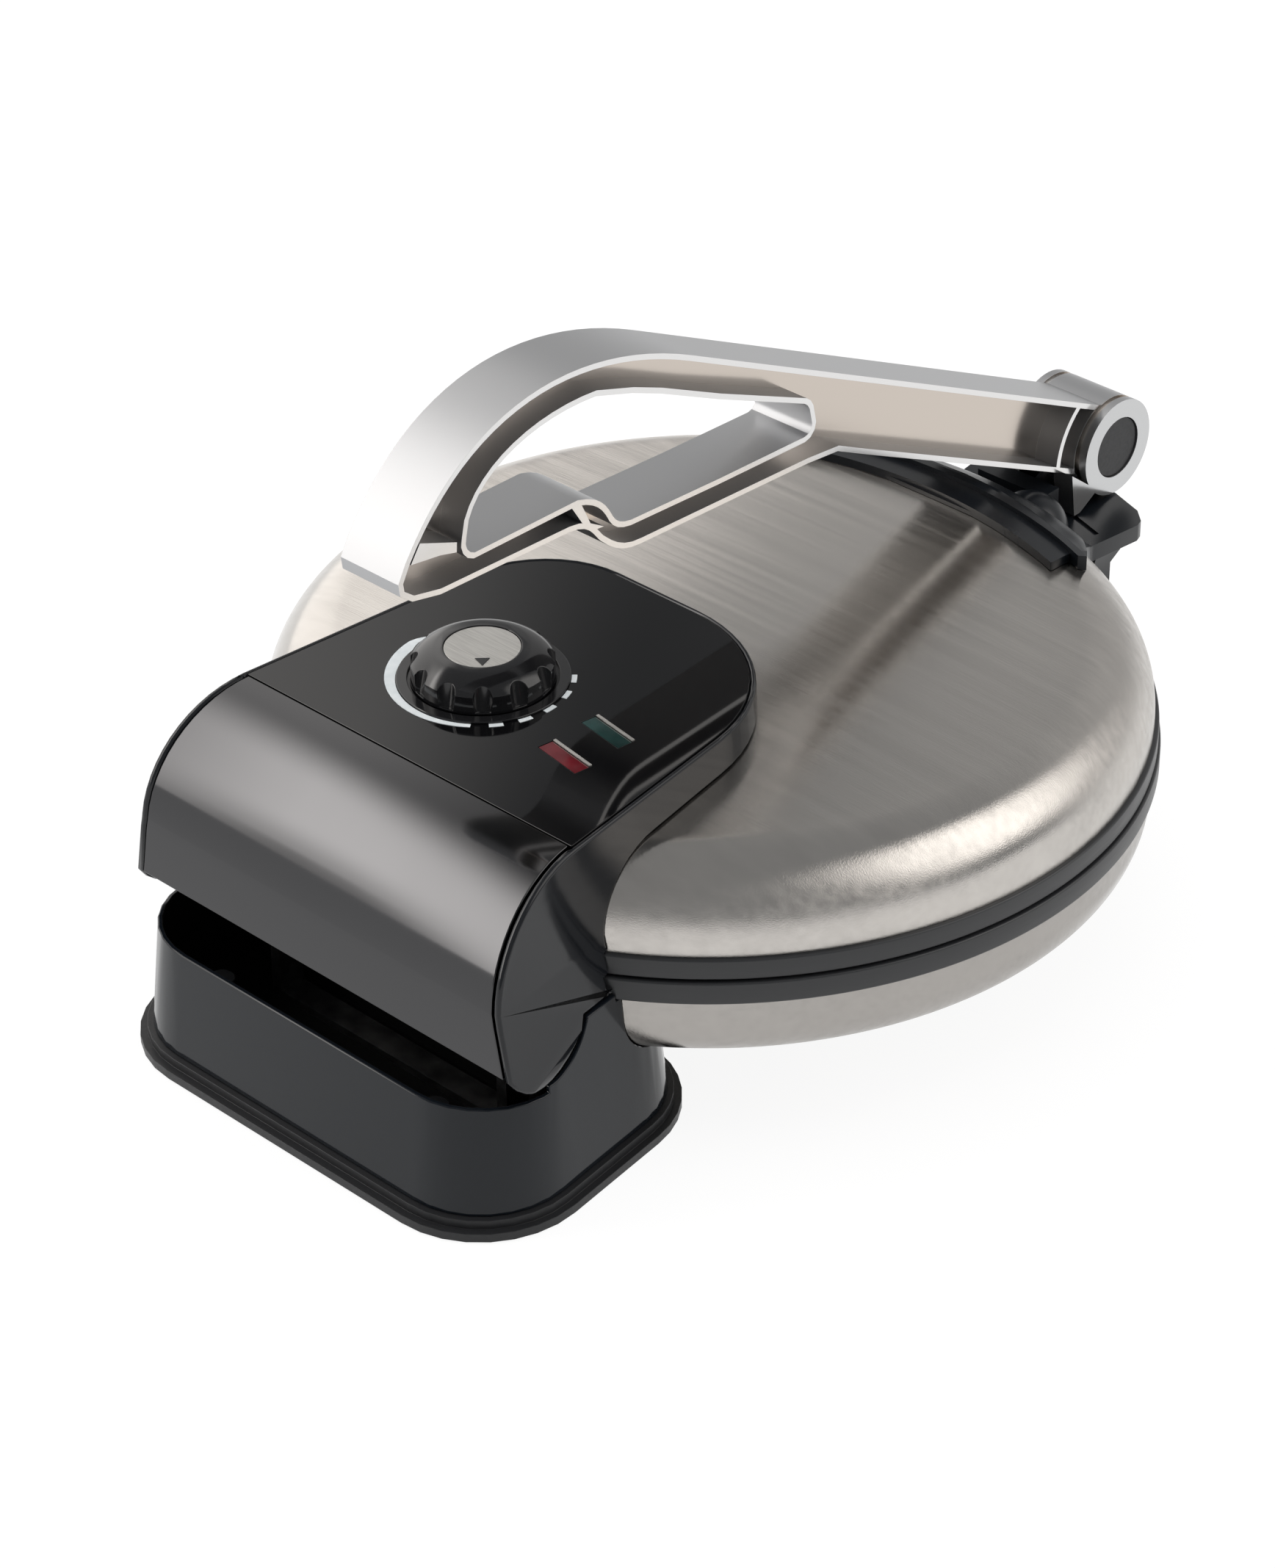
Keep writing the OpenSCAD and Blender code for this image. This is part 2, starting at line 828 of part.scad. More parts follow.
module lamp_frames() {
    color("#cfd1d3")
        at_disc()
            at_lamps()
                translate([-lamp_l / 2, -lamp_w / 2 - 1.2, panel_t])
                    cube([lamp_l, 1, 0.3]);
}

// The lamp board hangs from the skin, above the hinge arms
arm_top = lid_top + dome_h + 2;
holder_rim = 2;
holder_end = 5;

module lamp_holder() {
    color("#dedbd2")
        at_disc()
            translate([lamp_x - lamp_l / 2 - holder_rim, ready_y - holder_end, arm_top + run_gap / 2])
                cube([lamp_l + 2 * holder_rim, lamp_pitch + 2 * holder_end,
                    skin_top - skin_t - arm_top - run_gap / 2]);
}

module thermostat() {
    color("#c9c4b8")
        at_disc()
            translate([knob_x, knob_y, skin_top - skin_t])
                difference() {
                    translate([-thermo_w / 2, -thermo_w / 2, -thermo_h])
                        cube([thermo_w, thermo_w, thermo_h]);
                    translate([0, 0, -8])
                        cylinder(d = shaft_d + 2 * pin_gap, h = 20);
                }
}

// Two arms on a cross plate that is screwed to the lid shell
arm_front = knob_y + thermo_w / 2 + window_gap;
arm_plate_l = 14;
arm_plate_t = 3;
arm_screw_x = -(lamp_x + lamp_l / 2 + holder_rim) - screw_head_d / 2 - 1;
arm_screw_l = 7;

module at_hinge_screws() {
    both_sides()
        translate([arm_screw_x, arm_front + arm_plate_l / 2, lid_top + 1])
            children();
}

module lid_hinge() {
    side = concat(
        arc(0, 0, hinge_eye_r, -180, 0, 12),
        [[hinge_eye_r, 18], [-4, arm_top - hinge_z], [arm_front - hinge_y, arm_top - hinge_z],
            [arm_front - hinge_y, lid_top - hinge_z - 6], [-hinge_eye_r - 4, 24]]);
    color("#8d9094")
        at_disc()
            difference() {
                union() {
                    both_sides()
                        translate([hinge_x, hinge_y, hinge_z])
                            across(side, hinge_t);
                    translate([-hinge_x, arm_front, lid_top - 4])
                        cube([2 * hinge_x, arm_plate_l, 4 + dome_h + arm_plate_t - 2]);
                }
                disc_space(seam);
                translate([0, hinge_y, hinge_z])
                    bar(hinge_pin_d + 2 * pin_gap, 4 * hinge_x);
                at_hinge_screws()
                    cylinder(d = screw_d + 2 * pin_gap, h = 40, center = true);
            }
}

module hinge_screws() {
    color("#9b9ea3")
        at_disc()
            at_hinge_screws() {
                translate([0, 0, dome_h])
                    cylinder(d = screw_head_d, h = screw_head_t);
                translate([0, 0, -arm_screw_l])
                    cylinder(d = screw_d, h = dome_h + arm_screw_l);
            }
}

// Black bracket on the front of the lid
strip_half_angle = 31;
strip_t = 3;
strip_curve_r = 168;
strip_front = shell_r - 32.5;
strip_w = 9;
rib_h = 1.8;
wing_z = pivot_z - barrel_d / 2 - run_gap;
wing_front = pivot_reach + 0.6;
grip_half_w = 28;

// What follows the lid's outside, between margins g0 and g1
module lid_skin(g0, g1) {
    rotate([0, 0, -90 - strip_half_angle])
        rotate_extrude(angle = 2 * strip_half_angle, $fn = 96)
            difference() {
                intersection() {
                    polygon(disc_section(g1));
                    translate([strip_front - 20, band_top + 1])
                        square([shell_r + 4 - strip_front + 20, 60]);
                }
                polygon(disc_section(g0));
            }
}

// Everything outside a shallow curve across the lid, r from its front point
module beyond(r, r1 = far) {
    translate([0, strip_curve_r - strip_front, 0])
        difference() {
            cylinder(r = r1, h = 200, $fn = 96);
            translate([0, 0, -1])
                cylinder(r = strip_curve_r + r, h = 202, $fn = 96);
        }
}

module wing_outline() {
    y = -wing_front;
    back = -strip_front - 24;
    polygon([[-wing_half_w + 2, back], [-wing_half_w + 2.5, y + 32], [-wing_half_w, y + 12],
        [-wing_half_w + 1, y + 9], [-wing_half_w + 6, y + 4.5], [-wing_half_w + 19, y],
        [wing_half_w - 19, y], [wing_half_w - 6, y + 4.5], [wing_half_w - 1, y + 9],
        [wing_half_w, y + 12], [wing_half_w - 2.5, y + 32], [wing_half_w - 2, back]]);
}

// The strip is square at its ends and narrows to the wing over the shoulder
module strip_outline() {
    x0 = wing_half_w + 3;
    x1 = wing_half_w + 24;
    polygon([[-x1, 0], [-x1, -strip_front - 8], [-x0, -strip_front - 30], [-x0, -far],
        [x0, -far], [x0, -strip_front - 30], [x1, -strip_front - 8], [x1, 0]]);
}

module lever_bracket() {
    shelf_y = -strip_front - strip_w - 3;
    color("#141518")
        at_disc()
            difference() {
                union() {
                    intersection() {
                        lid_skin(seam, strip_t + seam);
                        beyond(0);
                        linear_extrude(far)
                            strip_outline();
                    }
                    intersection() {
                        lid_skin(seam, strip_t + rib_h + seam);
                        beyond(strip_w, strip_curve_r + strip_w + 3);
                    }
                    translate([0, 0, wing_z - wing_t])
                        linear_extrude(wing_t)
                            wing_outline();
                    hull() {
                        intersection() {
                            rotate([0, 0, -90 - strip_half_angle + 3])
                                rotate_extrude(angle = 2 * strip_half_angle - 6, $fn = 48)
                                    translate([strip_front + strip_w + 4, lid_top - 6])
                                        square([4, 8]);
                            translate([-100, shelf_y - 40, 0])
                                cube([200, 60, 200]);
                        }
                        translate([-wing_half_w + 3, -wing_front + 33, wing_z - wing_t])
                            cube([2 * wing_half_w - 6, 5, wing_t]);
                    }
                    translate([-grip_half_w, -wing_front + 18, wing_z - wing_t - 16])
                        cube([2 * grip_half_w, 28, 17]);
                    hull() {
                        translate([-grip_half_w, -wing_front + 18, wing_z - wing_t - 8])
                            cube([2 * grip_half_w, 10, 1]);
                        translate([-wing_half_w + 4, -wing_front + 10, wing_z - wing_t])
                            cube([2 * wing_half_w - 8, 18, 1]);
                    }
                    translate([0, -pivot_reach, pivot_z])
                        bar(2 * post_r, post_t);
                    translate([-post_t / 2, -pivot_reach - post_w / 2, wing_z - wing_t])
                        cube([post_t, post_w, pivot_z - wing_z + wing_t]);
                    translate([-17, -strip_front - 30, lid_top - 18])
                        sphere(r = 13);
                    translate([-14, -pivot_reach + 29, wing_z - 1])
                        cube([28, 8, 15]);
                }
                disc_space(seam);
                cylinder(r = low_band_r + 2 * run_gap, h = parting_z + run_gap, $fn = 96);
                translate([0, -pivot_reach, pivot_z])
                    bar(pivot_pin_d + 2 * pin_gap, 60);
                translate([-28, -wing_front + 25, wing_z - 1])
                    rotate([0, 0, -18])
                        cube([14, 2, 3]);
            }
}

module at_pivot() {
    translate([0, -pivot_reach, pivot_z])
        children();
}

module pivot_pin() {
    color("#b9bcc0")
        at_disc()
            at_pivot()
                bar(pivot_pin_d, barrel_len - 2 * cap_seat_t - 2 * seam);
}

module lever_handle() {
    color("#c9c2ba")
        at_disc()
            at_pivot()
                difference() {
                    union() {
                        across(lever_outline(), lever_w);
                        bar(barrel_d, barrel_len);
                        both_sides()
                            translate([barrel_len / 2 - 4, 0, 0])
                                across([[10, -12], [19, -barrel_d / 2], [22, -barrel_d / 2], [24, -1]], 8);
                    }
                    across(lever_loop(), 2 * lever_w);
                    both_sides()
                        translate([web_t / 2 + lever_w / 2, 0, 0])
                            difference() {
                                across(inset(lever_outline(), flange_t), lever_w);
                                across(inset(lever_loop(), -flange_t), 2 * lever_w);
                                bar(barrel_d + 3, 2 * lever_w);
                                for (points = lever_ribs())
                                    across(points, 2 * lever_w);
                                difference() {
                                    bar(2 * rib_r + rib_t, 2 * lever_w);
                                    bar(2 * rib_r - rib_t, 3 * lever_w);
                                }
                            }
                    intersection() {
                        bar(2 * slot_r, post_t + 2 * run_gap);
                        across(concat([[0, 0]], arc(0, 0, 2 * slot_r, slot_from, slot_to)), 60);
                    }
                    bar(2 * (post_r + run_gap), post_t + 2 * run_gap);
                    bar(pivot_pin_d + 2 * pin_gap, 60);
                    both_sides() {
                        translate([barrel_len / 2, 0, 0])
                            bar(cap_seat_d + 2 * seam, 2 * cap_seat_t);
                        translate([barrel_len / 2 - groove_in, 0, 0])
                            difference() {
                                bar(barrel_d + 2, groove_w);
                                bar(barrel_d - 2 * groove_w, 2 * groove_w);
                            }
                    }
                }
}

module pivot_caps() {
    color("#17181a")
        at_disc()
            at_pivot()
                both_sides()
                    translate([(barrel_len - cap_seat_t) / 2 - 0.3, 0, 0])
                        bar(cap_seat_d, cap_seat_t - 0.6);
}

knob_z = housing_z + run_gap / 2;
cap_seat_depth = 1;
flute_r = 3.4;
flute_in = 1.2;

module at_knob() {
    translate([knob_x, knob_y, knob_z])
        children();
}

module knob() {
    r = knob_d / 2;
    crown_r = cap_d / 2 + 2.7;
    ridge_h = knob_h * 0.58;
    color("#1b1c1f")
        at_disc()
            at_knob()
                difference() {
                    rotate_extrude()
                        polygon(concat([[0, 0], [r, 0], [r - 0.2, ridge_h]],
                            curve([[r - 1.2, ridge_h + 1.2], [r - 3.5, knob_h - 1.2],
                                [crown_r + 2, knob_h - 0.4], [crown_r, knob_h]], 6),
                            [[0, knob_h]]));
                    for (i = [0:flute_count - 1])
                        rotate([0, 0, 360 * (i + 0.5) / flute_count])
                            translate([r + flute_r - flute_in, 0, 1.2])
                                rotate([0, -12, 0])
                                    cylinder(r = flute_r, h = knob_h + 4, $fn = 32);
                    translate([0, 0, knob_h - cap_seat_depth])
                        cylinder(d = cap_d + 2 * seam, h = 4);
                    translate([0, 0, -1])
                        cylinder(d = shaft_d + 2 * pin_gap, h = knob_h - 2);
                }
}

module knob_cap() {
    color("#c3c0ba")
        at_disc()
            at_knob()
                translate([0, 0, knob_h - cap_seat_depth])
                    cylinder(d = cap_d, h = cap_seat_depth - 0.2);
}

module knob_pointer() {
    color("#242424")
        at_disc()
            at_knob()
                translate([0, 0, knob_h - 0.2])
                    rotate([0, 0, 135])
                        translate([cap_d / 2 - 5, 0, 0])
                            linear_extrude(0.2)
                                polygon([[4, 0], [0, 2.2], [0, -2.2]]);
}

module knob_shaft() {
    color("#b9bcc0")
        at_disc()
            at_knob()
                translate([0, 0, -panel_t - skin_t - 6 - run_gap / 2])
                    cylinder(d = shaft_d, h = panel_t + skin_t + 6 + run_gap / 2 + knob_h - 3.2);
}

base_plate();
rubber_feet();
base_screws();
base_housing();
hinge_bracket();
hinge_pin();
cord_gland();
terminal_block();
lower_shell();
lower_band();
lower_plate();
lower_heater();
front_foot();
front_pad();
lid_shell();
lid_band();
upper_plate();
upper_heater();
control_housing();
control_panel();
rear_cover();
dial_marks();
dial_ring();
ready_lens();
power_lens();
lamp_frames();
lamp_holder();
thermostat();
lid_hinge();
hinge_screws();
lever_bracket();
pivot_pin();
lever_handle();
pivot_caps();
knob();
knob_cap();
knob_pointer();
knob_shaft();
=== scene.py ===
# %% [markdown]
# # A round flatbread press
#
# This lesson dresses a finished CAD model of a countertop cooker: a hinged drum with two hot
# plates, a dark control housing at the rear and a long polished lever in front.
# The CAD model is loaded first and stays where it is. Each step then adds a better surface, or
# a finer mesh that stands for a CAD piece.

# %% Load the CAD model
import json
import math
import bmesh
import bpy
from mathutils import Matrix, Vector


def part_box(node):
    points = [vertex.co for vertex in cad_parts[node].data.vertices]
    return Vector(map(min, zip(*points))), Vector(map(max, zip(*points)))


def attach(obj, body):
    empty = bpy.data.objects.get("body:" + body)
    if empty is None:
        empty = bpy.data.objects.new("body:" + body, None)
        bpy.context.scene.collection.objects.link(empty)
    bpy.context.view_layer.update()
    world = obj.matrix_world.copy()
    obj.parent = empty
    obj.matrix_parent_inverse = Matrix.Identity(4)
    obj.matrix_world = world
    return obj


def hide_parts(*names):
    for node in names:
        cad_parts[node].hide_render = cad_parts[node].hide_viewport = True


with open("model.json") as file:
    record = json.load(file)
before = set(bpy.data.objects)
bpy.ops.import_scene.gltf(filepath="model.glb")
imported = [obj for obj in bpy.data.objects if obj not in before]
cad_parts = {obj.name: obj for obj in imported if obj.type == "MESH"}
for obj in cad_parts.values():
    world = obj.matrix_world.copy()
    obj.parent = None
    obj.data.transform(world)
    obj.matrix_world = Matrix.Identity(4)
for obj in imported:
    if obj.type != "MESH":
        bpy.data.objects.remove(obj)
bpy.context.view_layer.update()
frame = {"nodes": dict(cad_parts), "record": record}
nodes = frame["nodes"]
body_of = {n: b for b, names in frame["record"]["behaviour"]["bodies"].items() for n in names}

# %% [markdown]
# ## Units and the main places
#
# Blender works in metres. Lathe profiles are easier to think about in millimetres, so a helper
# turns them round the drum's own axis. All turned pieces share that axis.

# %% Main places
MM = 0.001
DRUM_Y = 7.0            # the drum's axis, from the origin
BAND_R = 140.0
SHELL_R = 138.5
LID_TOP = 97.3
print("drum axis at y =", DRUM_Y, "mm")

# %% [markdown]
# ## The camera
#
# The photograph looks down from the rear left with a long lens. The numbers come from lining
# up the rim circles and the base with the picture, so the camera is placed by a matrix instead
# of by eye.

# %% Camera
AZIMUTH, ELEVATION, ROLL = (math.radians(a) for a in (223.94, 33.61, -0.86))
back = Vector((math.sin(AZIMUTH) * math.cos(ELEVATION),
               -math.cos(AZIMUTH) * math.cos(ELEVATION), math.sin(ELEVATION)))
right = Vector((math.cos(AZIMUTH), math.sin(AZIMUTH), 0))
up = back.cross(right)
right_rolled = right * math.cos(ROLL) + up * math.sin(ROLL)
up_rolled = back.cross(right_rolled)
camera_data = bpy.data.cameras.new("Camera")
camera_data.sensor_width = 36
camera_data.lens = 5997.76 / 2135 * camera_data.sensor_width
camera = bpy.data.objects.new("Camera", camera_data)
bpy.context.scene.collection.objects.link(camera)
camera.matrix_world = Matrix.Translation((-0.78991, 0.85974, 0.81096)) @ Matrix(
    (right_rolled, up_rolled, back)).transposed().to_4x4()
bpy.context.scene.camera = camera
print("lens", round(camera_data.lens, 1), "mm")

# %% [markdown]
# ## Small tools for materials
#
# Every finish here is one Principled shader with a little noise behind it. The first helper
# makes the shader, and the next ones add streaks, mottling and a bump. Colours that are the
# same all over are set on the shader's own sockets.

# %% Material helpers
NOISE_LOW, NOISE_HIGH = 0.3, 0.7    # most of a noise texture's values lie between these


def finish(name, colour, roughness, metallic=0.0, specular=0.5):
    material = bpy.data.materials.new(name)
    material.use_nodes = True
    shader = material.node_tree.nodes["Principled BSDF"]
    shader.inputs["Base Color"].default_value = (*colour, 1)
    shader.inputs["Roughness"].default_value = roughness
    shader.inputs["Metallic"].default_value = metallic
    shader.inputs["Specular IOR Level"].default_value = specular
    return material


def noise(material, scale, stretch=(1, 1, 1), detail=3.0):
    tree = material.node_tree
    where = tree.nodes.new("ShaderNodeTexCoord")
    mapping = tree.nodes.new("ShaderNodeMapping")
    mapping.inputs["Scale"].default_value = stretch
    texture = tree.nodes.new("ShaderNodeTexNoise")
    texture.inputs["Scale"].default_value = scale
    texture.inputs["Detail"].default_value = detail
    tree.links.new(where.outputs["Object"], mapping.inputs["Vector"])
    tree.links.new(mapping.outputs["Vector"], texture.inputs["Vector"])
    return texture.outputs["Fac"]


def vary(material, socket, source, low, high):
    tree = material.node_tree
    ramp = tree.nodes.new("ShaderNodeMapRange")
    ramp.inputs["From Min"].default_value = NOISE_LOW
    ramp.inputs["From Max"].default_value = NOISE_HIGH
    ramp.inputs["To Min"].default_value = low
    ramp.inputs["To Max"].default_value = high
    tree.links.new(source, ramp.inputs["Value"])
    tree.links.new(ramp.outputs["Result"], tree.nodes["Principled BSDF"].inputs[socket])


def tint(material, source, dark, light):
    tree = material.node_tree
    ramp = tree.nodes.new("ShaderNodeValToRGB")
    ramp.color_ramp.elements[0].position = NOISE_LOW
    ramp.color_ramp.elements[1].position = NOISE_HIGH
    ramp.color_ramp.elements[0].color = (*dark, 1)
    ramp.color_ramp.elements[1].color = (*light, 1)
    tree.links.new(source, ramp.inputs["Fac"])
    tree.links.new(ramp.outputs["Color"], tree.nodes["Principled BSDF"].inputs["Base Color"])


def bump(material, source, depth):
    tree = material.node_tree
    relief = tree.nodes.new("ShaderNodeBump")
    relief.inputs["Distance"].default_value = depth
    tree.links.new(source, relief.inputs["Height"])
    tree.links.new(relief.outputs["Normal"], tree.nodes["Principled BSDF"].inputs["Normal"])


def shade(colour, factor):
    return tuple(min(1, c * factor) for c in colour)


print("material helpers ready")

# %% [markdown]
# ## Brushed steel
#
# The lid is stainless sheet, brushed straight across. Brushing is long fine scratches, so the
# noise is stretched some two hundred times along X. It moves the roughness, the tint and a bump
# of some hundredths of a millimetre. The reflection spreads across the grain, so the shader's
# tangent follows a UV map that the lathe makes.

# %% Brushed steel
STEEL = (0.55, 0.525, 0.495)
brushed_steel = finish("brushed_steel", STEEL, 0.2, metallic=1)
scratches = noise(brushed_steel, 1, (12, 2600, 2600), detail=2)
vary(brushed_steel, "Roughness", noise(brushed_steel, 1, (6, 400, 400)), 0.18, 0.26)
streaks = noise(brushed_steel, 1, (4, 160, 160))
tint(brushed_steel, streaks, shade(STEEL, 0.96), shade(STEEL, 1.03))
bump(brushed_steel, scratches, 0.00004)
across_grain = brushed_steel.node_tree.nodes.new("ShaderNodeTangent")
across_grain.direction_type = "UV_MAP"
across_grain.uv_map = "grain"
shader = brushed_steel.node_tree.nodes["Principled BSDF"]
shader.inputs["Anisotropic"].default_value = 0.95
brushed_steel.node_tree.links.new(across_grain.outputs[0], shader.inputs["Tangent"])
print("brushed steel")

# %% [markdown]
# ## Nickel on the lever
#
# The lever is a casting under nickel: satin on its outer faces, warm in the recesses and
# polished bright on the flange edges. One material does all three. A mask on the face's
# direction tells the outer faces from the sides, and a mask on X tells the recess, the flange
# edge and the barrel's end apart. The bright colour of the flange edges is partly a painted
# highlight, and the darker colour of the outer faces is partly painted shade.

# %% Nickel
BEIGE_NICKEL = (0.58, 0.52, 0.465)
nickel = finish("bright_nickel", BEIGE_NICKEL, 0.2, metallic=1)
bump(nickel, noise(nickel, 45), 0.00001)
tree = nickel.node_tree
place = tree.nodes.new("ShaderNodeTexCoord")


def mask(vector, start, end):
    """One where the vector points, or lies, further out along X than the given numbers."""
    axes = tree.nodes.new("ShaderNodeSeparateXYZ")
    size = tree.nodes.new("ShaderNodeMath")
    size.operation = "ABSOLUTE"
    step = tree.nodes.new("ShaderNodeMapRange")
    step.inputs["From Min"].default_value = start
    step.inputs["From Max"].default_value = end
    tree.links.new(vector, axes.inputs[0])
    tree.links.new(axes.outputs[0], size.inputs[0])
    tree.links.new(size.outputs[0], step.inputs["Value"])
    return step.outputs[0]


def blend(factor, low, high):
    node = tree.nodes.new("ShaderNodeMix")
    node.data_type = "RGBA"
    tree.links.new(factor, node.inputs[0])
    for socket, value in ((node.inputs[6], low), (node.inputs[7], high)):
        if isinstance(value, tuple):
            socket.default_value = (*value, 1)
        else:
            tree.links.new(value, socket)
    return node.outputs[2]


# painted light: the flange edge colour is partly a painted highlight and the outer face colour
# partly painted shade
SATIN_WITH_PAINTED_SHADE, POLISHED_WITH_PAINTED_HIGHLIGHT, BARREL = (0.47, 0.475, 0.485), (0.74, 0.735, 0.73), (0.56, 0.565, 0.57)
sideways = mask(place.outputs["Normal"], 0.35, 0.6)
across = place.outputs["Object"]
rim = blend(mask(across, 0.0137, 0.0142), POLISHED_WITH_PAINTED_HIGHLIGHT, BARREL)
recess_or_rim = blend(mask(across, 0.0114, 0.0117), BEIGE_NICKEL, rim)
colour = blend(sideways, SATIN_WITH_PAINTED_SHADE, recess_or_rim)
tree.links.new(colour, tree.nodes["Principled BSDF"].inputs["Base Color"])
gloss = tree.nodes.new("ShaderNodeMapRange")
gloss.inputs["To Min"].default_value = 0.42
gloss.inputs["To Max"].default_value = 0.17
tree.links.new(sideways, gloss.inputs["Value"])
tree.links.new(gloss.outputs[0], tree.nodes["Principled BSDF"].inputs["Roughness"])

print("nickel")

# %% [markdown]
# ## Zinc and the dark metals
#
# Screws and hinge parts are dull zinc. The band is black lacquer with turning marks, stretched
# along Z so that they lie as rings. The rear cover is a dark mirror, so its own colour stays low
# and nearly all that shows is what it reflects.

# %% Zinc and dark metals
zinc = finish("zinc_steel", (0.3, 0.305, 0.31), 0.4, metallic=1)
spots = noise(zinc, 180)
vary(zinc, "Roughness", spots, 0.32, 0.48)
tint(zinc, spots, (0.26, 0.265, 0.27), (0.34, 0.345, 0.35))

dark_band = finish("dark_band", (0.02, 0.021, 0.023), 0.36, specular=0.5)
turning = noise(dark_band, 90, (1, 1, 40))
vary(dark_band, "Roughness", turning, 0.32, 0.42)
bump(dark_band, turning, 0.000006)

gunmetal = finish("gunmetal", (0.066, 0.066, 0.068), 0.1, metallic=1)
vary(gunmetal, "Roughness", noise(gunmetal, 12), 0.08, 0.12)

dark_gloss = finish("dark_gloss", (0.008, 0.009, 0.011), 0.09, specular=0.35)
vary(dark_gloss, "Roughness", noise(dark_gloss, 20), 0.07, 0.11)

cap_metal = finish("cap_metal", (0.55, 0.54, 0.51), 0.35, metallic=0.9)
lines = noise(cap_metal, 120, (1, 30, 1))
vary(cap_metal, "Roughness", lines, 0.3, 0.45)
tint(cap_metal, lines, (0.45, 0.44, 0.42), (0.62, 0.61, 0.58))

heater_metal = finish("heater_tube", (0.3, 0.28, 0.26), 0.5, metallic=1)
tint(heater_metal, noise(heater_metal, 90), (0.24, 0.22, 0.2), (0.36, 0.33, 0.3))
print("zinc and dark metals")

# %% [markdown]
# ## Plastics and coatings
#
# The base is glossy black plastic on a duller flange. Plastic is never one perfect surface:
# a wide faint noise lets the gloss change a little, and a finer one gives the dull parts their
# moulded skin. The plates have a speckled non-stick coating.

# %% Plastics
gloss_black = finish("gloss_black", (0.006, 0.008, 0.011), 0.1, specular=0.3)
vary(gloss_black, "Roughness", noise(gloss_black, 9), 0.08, 0.13)

panel_black = finish("panel_black", (0.003, 0.003, 0.0035), 0.05, specular=0.3)
vary(panel_black, "Roughness", noise(panel_black, 14), 0.03, 0.06)

dull_black = finish("dull_black", (0.016, 0.0165, 0.018), 0.4, specular=0.35)
skin = noise(dull_black, 900)
vary(dull_black, "Roughness", skin, 0.36, 0.48)
bump(dull_black, skin, 0.00001)

knob_black = finish("knob_black", (0.009, 0.009, 0.01), 0.1, specular=0.5)
vary(knob_black, "Roughness", noise(knob_black, 60), 0.08, 0.13)

rubber = finish("rubber", (0.03, 0.03, 0.03), 0.8, specular=0.3)
bump(rubber, noise(rubber, 1200), 0.00003)

insulator = finish("insulator", (0.68, 0.65, 0.57), 0.5)
tint(insulator, noise(insulator, 60), (0.62, 0.59, 0.52), (0.72, 0.69, 0.61))

white_print = finish("white_print", (0.72, 0.77, 0.79), 0.5)
tint(white_print, noise(white_print, 300), (0.66, 0.71, 0.73), (0.76, 0.8, 0.82))

coating = finish("plate_coating", (0.03, 0.03, 0.032), 0.45, specular=0.4)
speckle = noise(coating, 1500, detail=1)
tint(coating, speckle, (0.022, 0.022, 0.024), (0.05, 0.05, 0.052))
bump(coating, speckle, 0.00001)


def lens_finish(name, colour):
    material = finish(name, colour, 0.12, specular=0.5)
    vary(material, "Roughness", noise(material, 300), 0.08, 0.2)
    tint(material, noise(material, 120), shade(colour, 0.6), shade(colour, 1.4))
    return material


green_lens = lens_finish("green_lens", (0.003, 0.026, 0.024))
red_lens = lens_finish("red_lens", (0.085, 0.003, 0.007))
print("plastics and coatings")

# %% [markdown]
# ## A finer copy of a CAD piece
#
# A CAD mesh is loose flat triangles with knife-sharp edges. Real moulded and cast parts have
# rounded edges that catch the light. This helper copies a piece, joins its points, rounds its
# edges with the Bevel modifier, and keeps the flat faces flat by marking only steep edges sharp.

# %% Copying and rounding
CLEAN_EDGED = ("base_housing", "control_housing")   # their bevels need no clamp


def show(mesh, name, material, cad_node):
    """Makes an object of the mesh that stands for a CAD node and rides on its body."""
    piece = bpy.data.objects.new(name, mesh)
    bpy.context.scene.collection.objects.link(piece)
    mesh.materials.clear()
    mesh.materials.append(material)
    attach(piece, body_of[cad_node])
    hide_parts(cad_node)
    print(name, len(mesh.polygons), "faces")


def baked(piece):
    graph = bpy.context.evaluated_depsgraph_get()
    mesh = bpy.data.meshes.new_from_object(piece.evaluated_get(graph))
    bpy.data.objects.remove(piece)
    return mesh


def joined(cad_node, steep):
    work = bmesh.new()
    work.from_mesh(nodes[cad_node].data)
    bmesh.ops.remove_doubles(work, verts=work.verts, dist=2e-6)
    bmesh.ops.dissolve_degenerate(work, edges=work.edges, dist=1e-5)
    bmesh.ops.dissolve_limit(work, angle_limit=math.radians(0.4), verts=work.verts,
                             edges=work.edges)
    for edge in work.edges:
        edge.smooth = edge.calc_face_angle(0) < math.radians(steep)
    mesh = bpy.data.meshes.new(cad_node)
    work.to_mesh(mesh)
    work.free()
    mesh.polygons.foreach_set("use_smooth", [True] * len(mesh.polygons))
    return mesh


def rounded(cad_node, name, material, width, steps=2, steep=35):
    work = bpy.data.objects.new("work", joined(cad_node, steep))
    bpy.context.scene.collection.objects.link(work)
    bevel = work.modifiers.new("bevel", "BEVEL")
    bevel.width = width * MM
    bevel.segments = steps
    bevel.limit_method = "ANGLE"
    bevel.angle_limit = math.radians(steep)
    bevel.use_clamp_overlap = cad_node not in CLEAN_EDGED
    bevel.harden_normals = True
    show(baked(work), name, material, cad_node)


print("copy helper ready")

# %% [markdown]
# ## Turned pieces
#
# The shells, bands and plates are round, so each is spun from a closed profile, as a metal
# spinner would make it. The lathe joins each profile point to the next round 256 steps, which
# keeps the rims round in a close view. A UV map that follows X and Y carries the straight
# brushing over the shoulder.

# %% The lathe
def arc(cx, cz, r, a0, a1, n=12):
    angles = (math.radians(a0 + (a1 - a0) * i / n) for i in range(n + 1))
    return [(cx + r * math.cos(a), cz + r * math.sin(a)) for a in angles]


